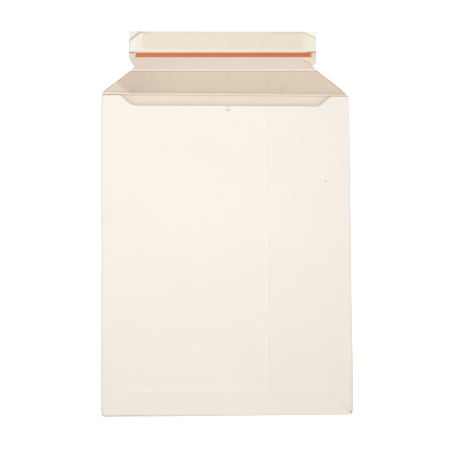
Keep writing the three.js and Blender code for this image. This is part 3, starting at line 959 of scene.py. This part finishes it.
def inner_board():
    """The grey-brown uncoated side, with the streaks of the board machine."""
    s = Shader("board_inner_cream", scaled(INNER_CREAM, 0.975))
    sheet = s.attribute("sheet")
    u, v, _ = s.split(sheet)
    up = s.minus(v, MOUTH_LINE * MM)
    clouds = s.noise(sheet, 20, 3)
    streaks = s.noise(sheet, (420, 9, 1), 3, 0.55)
    fibres = s.noise(sheet, (2200, 600, 1), 5, 0.7, seed=4.0)
    flecks = s.noise(sheet, 1500, 2, seed=7.0)
    s.tint(s.remap(clouds, 0.3, 0.7), scaled(INNER_CREAM, 1.015))
    patches = s.noise(sheet, (16, 40, 1), 2, seed=9.0)
    streaked = s.times(s.remap(streaks, 0.4, 0.7, 0, 0.4), s.remap(patches, 0.4, 0.65, 0.15, 1))
    s.tint(streaked, scaled(INNER_CREAM, 0.9))
    # Rolled lines, each of them light beside dark
    lines = s.noise(sheet, (900, 14, 1), 1, 0.4, seed=5.0)
    clusters = s.remap(s.noise(sheet, (46, 70, 1), 1, seed=6.0), 0.54, 0.63, 0, 0.35)
    for at, height, strength in ROLLED_LINES:
        clusters = s.math("MAXIMUM", clusters, s.times(
            strength, s.box(u, up, (at, height), (2.8, 5.5), 1.6)))
    clusters = s.times(clusters, s.ramp(up, GUSSET - 1.5, GUSSET, 1, 0.1))
    s.tint(s.times(clusters, s.remap(lines, 0.5, 0.6, 0, 0.6)), scaled(INNER_CREAM, 0.84))
    s.tint(s.times(clusters, s.remap(lines, 0.5, 0.4, 0, 0.6)), scaled(INNER_CREAM, 1.1))
    s.tint(s.remap(fibres, 0.5, 0.75, 0, 0.3), scaled(INNER_CREAM, 0.88))
    s.tint(s.remap(flecks, 0.66, 0.74, 0, 0.5), scaled(INNER_CREAM, 0.72))
    # Painted shade on the lip and the gusset, which tilt away from the lamp, and both darker
    # towards the left
    on_lip = s.ramp(up, GUSSET - 0.6, GUSSET + 0.9)
    on_gusset = s.times(s.ramp(up, 1.2, 2.2), s.minus(1.0, on_lip))
    s.tint(on_lip, (0.93, 0.93, 0.945, 1), "MULTIPLY")
    tick = s.box(u, up, (0.9, 20), (0.3, 3), 0.2)
    s.tint(s.times(tick, 0.35), srgb(180, 165, 146))
    s.tint(on_gusset, (0.965, 0.95, 0.93, 1), "MULTIPLY")
    s.tint(s.times(on_gusset, s.ramp(u, -90, -40, 0.11, 0)), (0.15, 0.12, 0.08, 1))
    s.tint(s.times(on_lip, s.ramp(u, -70, -30, 0.07, 0)), (0.15, 0.09, 0.04, 1))
    # Painted light: the gusset's left corner is lightened as if turned towards the lamp
    past_corner = s.plus(s.past_line(u, up, *LIT_CORNER_LINE), s.times(clouds, 3 * MM))
    s.tint(s.times(on_gusset, s.ramp(past_corner, 0.5, 2.5, 0.6, 0)), (0.963, 0.896, 0.735, 1))
    # Painted shade along the gusset's sloped cut edges
    for start, end in SLOPED_EDGES:
        past_edge = s.past_line(u, up, start, (end[1] - start[1], start[0] - end[0]))
        s.tint(s.times(on_gusset, s.ramp(past_edge, 0.3, 1.2, 0.28, 0)), srgb(146, 138, 136))
    # The half-moon cut, painted as a dark line of shade, and the creamier tab above it
    chord = math.hypot(TAB_RUN, TAB_RISE)
    run = s.math("DIVIDE", s.past_line(u, up, NOTCH_RIGHT_POINT, (-TAB_RUN, TAB_RISE)),
                 chord * MM)
    bow = s.times(run, s.minus(1.0, run), 4 * TAB_BULGE * chord / TAB_RUN * MM)
    above = s.minus(s.past_line(u, up, NOTCH_RIGHT_POINT, (TAB_RISE, TAB_RUN)), bow)
    within = s.times(s.remap(run, -0.02, 0.02), s.remap(run, 0.95, 1.1, 1, 0))
    tab = s.times(within, s.ramp(above, 0.3, 0.8), s.ramp(above, 3, 7, 0.8, 0.2))
    s.tint(tab, (0.905, 0.8, 0.635, 1))
    cut = s.ramp(s.math("ABSOLUTE", s.minus(above, 0.2 * MM)), 0.3, 0.6, 0.55, 0)
    s.tint(s.times(cut, within), srgb(150, 132, 108))
    # Glue that has yellowed the lip's left end beside the tape, and painted shadow under both
    # ends of the liner's lower edge
    left_end = s.ramp(u, LIP_LEFT + 5.5, LIP_LEFT + 6.5, 1, 0)
    right_end = s.ramp(u, LIP_RIGHT - 11, LIP_RIGHT - 7, 0, 0.8)
    s.tint(s.times(left_end, s.ramp(up, 41.5, 43, 0, 0.7)), srgb(238, 223, 192))
    liner_shadow = s.times(s.math("MAXIMUM", left_end, right_end), s.ramp(up, 46, 46.9, 0, 0.85))
    s.tint(liner_shadow, srgb(150, 134, 126))
    # The address panel is rubbed grey where it shows at the lower right corner
    rubbed = s.times(s.ramp(u, RIGHT_FOLD - 5, RIGHT_FOLD - 3),
                     s.ramp(v, BOTTOM_FOLD + 3, BOTTOM_FOLD + 5, 0.85, 0))
    s.tint(rubbed, srgb(226, 224, 219))
    _, _, crease_light_and_shade = s.split(s.attribute("wear_and_shade"))
    # Painted shade under the crease ridges and painted highlight on them
    s.tint(s.remap(crease_light_and_shade, 0, 1, 0, 0.35), srgb(120, 104, 86))
    s.tint(s.remap(crease_light_and_shade, 0, -1, 0, 0.9), (0.99, 0.925, 0.82, 1))
    # Painted shade inside the mouth, on the board along the cut edge of the front panel
    depth = FRONT_TOP_LEFT - MOUTH_BOTTOM
    past_mouth = s.minus(v, MOUTH_BOTTOM * MM)
    for corner, normal in ((MOUTH_LEFT, (depth, MOUTH_LEFT_RUN)),
                           (MOUTH_RIGHT, (-depth, MOUTH_RIGHT_RUN))):
        past_mouth = s.math("MINIMUM", past_mouth, s.past_line(
            u, v, (corner, FRONT_TOP_LEFT), normal))
    mouth_shade = s.times(s.ramp(past_mouth, 0, 4.5, 0.16, 0), s.ramp(up, -0.8, -0.2, 1, 0))
    s.tint(mouth_shade, srgb(128, 104, 76))
    normal = s.bump(streaks, 0.12, 0.1, s.bump(fibres, 0.3, 0.08))
    return s.finish(0.25, s.remap(fibres, 0.3, 0.7, 0.74, 0.88), normal)


def cut_edge():
    """The die-cut edge: a white coat, a pale lining ply and a layered grey-brown core."""
    s = Shader("board_cut_edge", srgb(214, 201, 182))
    sheet = s.attribute("sheet")
    _, _, depth = s.split(sheet)
    plies = s.noise(sheet, (300, 300, 14000), 3, 0.6)
    ragged = s.noise(sheet, 2600, 3, seed=2.0)
    s.tint(s.remap(plies, 0.35, 0.65), srgb(184, 169, 148))
    shifted = s.plus(depth, s.times(s.minus(ragged, 0.5), 0.06 * MM))
    s.tint(s.ramp(shifted, 0.07, 0.12, 1, 0), scaled(OUTER_WHITE, 0.97))
    s.tint(s.ramp(shifted, 0.50, 0.55), scaled(INNER_CREAM, 0.95))
    normal = s.bump(s.plus(plies, ragged), 0.5, 0.06)
    return s.finish(0.2, s.remap(ragged, 0.3, 0.7, 0.82, 0.95), normal)


def tape_film():
    """Orange tear tape: a thin film with drawn lines along it."""
    s = Shader("tear_tape_orange", TAPE_ORANGE)
    sheet = s.attribute("sheet")
    x, _, _ = s.split(sheet)
    drawn = s.noise(sheet, (12, 3200, 1), 2)
    blotches = s.noise(sheet, 90, 3)
    s.tint(s.remap(drawn, 0.35, 0.65, 0, 0.5), scaled(TAPE_ORANGE, 0.9))
    s.tint(s.remap(blotches, 0.4, 0.7, 0, 0.4), srgb(218, 127, 82))
    # The right-hand end is frayed and scuffed
    frayed = s.noise(sheet, 700, 4, 0.7, seed=3.0)
    scuffed = s.times(s.ramp(x, 70, 78), s.remap(frayed, 0.42, 0.6, 0, 0.5))
    s.tint(scuffed, srgb(176, 104, 78))
    bared = s.ramp(s.plus(x, s.times(frayed, 6 * MM)), 85.5, 87.2, 0, 0.8)
    s.tint(bared, srgb(226, 176, 158))
    return s.finish(0.4, s.remap(blotches, 0.3, 0.7, 0.36, 0.5), s.bump(drawn, 0.3, 0.04))


def liner_paper():
    """Silicone release paper, darker where the adhesive shows through it."""
    s = Shader("liner_silicone_paper", srgb(245, 238, 224))
    sheet = s.attribute("sheet")
    x, up, _ = s.split(sheet)
    ragged = s.times(s.minus(s.noise(sheet, 300, 2), 0.5), 1.6 * MM)
    along, level = s.plus(x, ragged), s.plus(up, ragged)
    left, right = LIP_LEFT + ADHESIVE[2], LIP_RIGHT - ADHESIVE[3]
    low, high = ADHESIVE[0], ADHESIVE[0] + ADHESIVE[1]
    wet = s.times(s.ramp(along, left - 1, left + 1), s.ramp(along, right - 3, right + 3, 1, 0),
                  s.ramp(level, low - 0.3, low + 0.5), s.ramp(level, high + 0.9, high + 1.5, 1, 0))
    clouds = s.noise(sheet, 45, 4, 0.6)
    fibres = s.noise(sheet, (900, 2400, 1), 4, 0.6)
    side = s.ramp(x, -60, 60)
    s.tint(side, srgb(244, 240, 219))
    s.tint(s.ramp(x, -97, -88, 0.7, 0), srgb(250, 247, 242))
    s.tint(wet, s.mix(s.remap(clouds, 0.35, 0.65), srgb(237, 227, 207), srgb(235, 225, 205)))
    # Past the board's own edge only the paper shows; along the board's edge, and down the lip's
    # left end, the paper carries a painted line of shadow
    inside = s.minus((FLAP + 0.1) * MM, up)
    for (run, drop), corner, way in ((CHAMFER_LEFT, LIP_LEFT, 1), (CHAMFER_RIGHT, LIP_RIGHT, -1)):
        inside = s.math("MINIMUM", inside, s.past_line(
            x, up, (corner, FLAP - drop), (way * drop, -run)))
    paper = s.mix(side, srgb(240, 239, 235), srgb(253, 252, 246))
    s.tint(s.ramp(inside, -0.3, 0.3, 1, 0), paper)
    shift = s.ramp(x, -88, -82, 0.6 * MM, -0.2 * MM)
    reach = s.ramp(x, -88, -82, 1.8 * MM, 1.1 * MM)
    edge_shadow = s.remap(s.math("ABSOLUTE", s.plus(inside, shift)), 0.3 * MM, reach, 1, 0)
    seen = s.math("MAXIMUM", s.ramp(x, -88, -74, 1, 0.25), s.ramp(x, 30, 50, 0, 0.6))
    s.tint(s.times(edge_shadow, seen), srgb(198, 193, 184))
    left_edge_shadow = s.times(s.ramp(x, LIP_LEFT + 0.5, LIP_LEFT + 1.1, 0.7, 0), s.ramp(inside, 0, 0.5))
    s.tint(left_edge_shadow, srgb(190, 184, 176))
    s.tint(s.remap(fibres, 0.5, 0.75, 0, 0.2), srgb(228, 217, 197))
    normal = s.bump(clouds, 0.14, 0.2, s.bump(fibres, 0.16, 0.05))
    return s.finish(0.45, s.remap(clouds, 0.3, 0.7, 0.36, 0.48), normal)


def soft_glue(name, colour, roughness):
    """Hot-melt adhesive with small bubbles and thicker ropes in it."""
    s = Shader(name, colour)
    place = s.node("TexCoord").outputs["Object"]
    ropes = s.noise(place, (60, 340, 60), 3, 0.6)
    bubbles = s.node("TexVoronoi", {"Vector": place, "Scale": 900.0}).outputs["Distance"]
    s.tint(s.remap(ropes, 0.35, 0.65), scaled(colour, 0.84))
    s.tint(s.remap(bubbles, 0, 0.25, 0.45, 0), scaled(colour, 1.18))
    height = s.plus(ropes, s.times(bubbles, 0.3))
    return s.finish(0.5, s.remap(ropes, 0.3, 0.7, roughness, roughness + 0.14),
                    s.bump(height, 0.4, 0.1))


def make_board():
    u_lines, v_lines = sheet_lines()
    board = sheet_solid(
        "envelope_board", blank_outline(), u_lines, v_lines, place_on_pack, BOARD, BOARD_ARRIS,
        [inner_board(), outer_board(), cut_edge()])
    sheet = board.data.attributes["sheet"].data
    add_attribute(board.data, "wear_and_shade", [wear_and_shade_at(*(item.vector / MM).xy) for item in sheet])
    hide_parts("board_blank")
    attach(board, "root")


def make_film(name, size, level, lift, ragged, corner, arris, material):
    """A film on the lip. level is its underside above the middle of the board."""
    def place(x, distance, depth):
        return off_flap(x, distance, level + depth + lift(x, distance))

    low, width, left_inset, right_inset, thickness = size
    left, right, high = LIP_LEFT + left_inset, LIP_RIGHT - right_inset, low + width
    outline = rounded_outline([
        (left, low, corner), (right - ragged, low, corner),
        (right, high, corner), (left + ragged, high, corner)], 4)
    return sheet_solid(name, outline, steps_between(left, right, 2)[1:-1],
                       steps_between(low, high, 1.2)[1:-1], place, thickness, arris, [material])


def tape_lift(x, distance):
    return lip_wave(x, distance) + 0.02 + 0.02 * grain(x, distance, 14, 11)


def liner_lift(x, distance):
    """The liner stands off a little along its free edges and at its overhanging ends."""
    low = smooth((ADHESIVE[0] - distance) / 1.6)
    high = smooth((distance - ADHESIVE[0] - ADHESIVE[1]) / 3.2)
    left = smooth((LIP_LEFT + ADHESIVE[2] - x) / 12)
    right = smooth((x - LIP_RIGHT + ADHESIVE[3]) / 12)
    free = 1 - (1 - low * 0.5) * (1 - high * 0.5) * (1 - left) * (1 - right)
    wave = 0.5 + 0.5 * grain(x, distance, 24, 12)
    return lip_wave(x, distance) + 0.03 + free * (0.12 + 0.25 * wave)


def make_films():
    face = BOARD / 2 + FILM_CLEARANCE
    tape = make_film("tear_tape_film", TAPE, face, tape_lift, 0.5, 0, 0.02, tape_film())
    adhesive = make_film("adhesive_strip", ADHESIVE, face, lip_wave, 0.3, 0.5, 0.03,
                         soft_glue("adhesive_amber", srgb(226, 208, 172), 0.22))
    liner = make_film("release_liner_paper", LINER, face + ADHESIVE[4] + FILM_CLEARANCE,
                      liner_lift, 0.0, 0.4, 0.02, liner_paper())
    for film, node, slot in ((tape, "tear_tape", "tear_tape"),
                             (adhesive, "flap_adhesive", "adhesive"),
                             (liner, "release_liner", "liner")):
        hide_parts(node)
        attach(film, "root")


def finish_glue():
    """The two glue seams inside the envelope keep their CAD shape."""
    glue = soft_glue("seam_glue", srgb(228, 216, 188), 0.4)
    for name in ("side_seam_glue", "bottom_flap_glue"):
        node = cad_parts[name]
        node.data.materials.clear()
        node.data.materials.append(glue)


def seen_directly(tree):
    """One for rays that show the backdrop as it is, zero for those that light the object."""
    path = tree.nodes.new("ShaderNodeLightPath")
    seen = path.outputs["Is Camera Ray"]
    for name in ("Is Glossy Ray", "Is Transmission Ray"):
        either = tree.nodes.new("ShaderNodeMath")
        either.operation = "MAXIMUM"
        tree.links.new(seen, either.inputs[0])
        tree.links.new(path.outputs[name], either.inputs[1])
        seen = either.outputs[0]
    return seen


# The floor's level and its reach each way, in millimetres
FLOOR_LEVEL = -0.25
FLOOR_REACH = 2500


def make_floor():
    s = Shader("floor_white", (0.86, 0.86, 0.85, 1))
    s.finish(0.0, 0.9)
    glow = s.node("Emission", {"Color": (0.94, 1, 1.12, 1),
                               "Strength": s.times(seen_directly(s.tree), 0.5)})
    both = s.node("AddShader", {0: s.surface.outputs[0], 1: glow.outputs[0]})
    s.feed(s.tree.nodes["Material Output"].inputs["Surface"], both.outputs[0])
    corners = [(-1, -1), (1, -1), (1, 1), (-1, 1)]
    floor = new_object(
        "floor", [(x * FLOOR_REACH, y * FLOOR_REACH, FLOOR_LEVEL) for x, y in corners],
        [[0, 1, 2, 3]], [s.material])


def make_lamp():
    """A round lamp, high beyond the closing flap's left end."""
    data = bpy.data.lights.new("window", "AREA")
    data.shape = "DISK"
    data.size = 0.7
    data.spread = math.radians(48)
    data.energy = 0.96
    data.color = (0.95, 0.99, 1.09)
    lamp = add_object("window", data)
    lamp.location = (-0.27, 0.44, 1.5)
    aim = Vector((-0.03, 0.09, 0))
    lamp.rotation_euler = (aim - lamp.location).to_track_quat("-Z", "Y").to_euler()


def make_world():
    """Warm light from all round, and plain white where the world itself is seen."""
    world = bpy.data.worlds.new("studio")
    world.use_nodes = True
    tree = world.node_tree
    warm = tree.nodes["Background"]
    warm.inputs["Color"].default_value = (1, 0.95, 0.86, 1)
    warm.inputs["Strength"].default_value = 0.605
    white = tree.nodes.new("ShaderNodeBackground")
    white.inputs["Color"].default_value = (1, 1, 1, 1)
    white.inputs["Strength"].default_value = 1.0
    either = tree.nodes.new("ShaderNodeMixShader")
    tree.links.new(seen_directly(tree), either.inputs[0])
    tree.links.new(warm.outputs[0], either.inputs[1])
    tree.links.new(white.outputs[0], either.inputs[2])
    tree.links.new(either.outputs[0], tree.nodes["World Output"].inputs["Surface"])
    bpy.context.scene.world = world


make_board()
make_films()
finish_glue()
make_floor()
make_lamp()
make_world()
bpy.context.scene.view_settings.view_transform = "Standard"
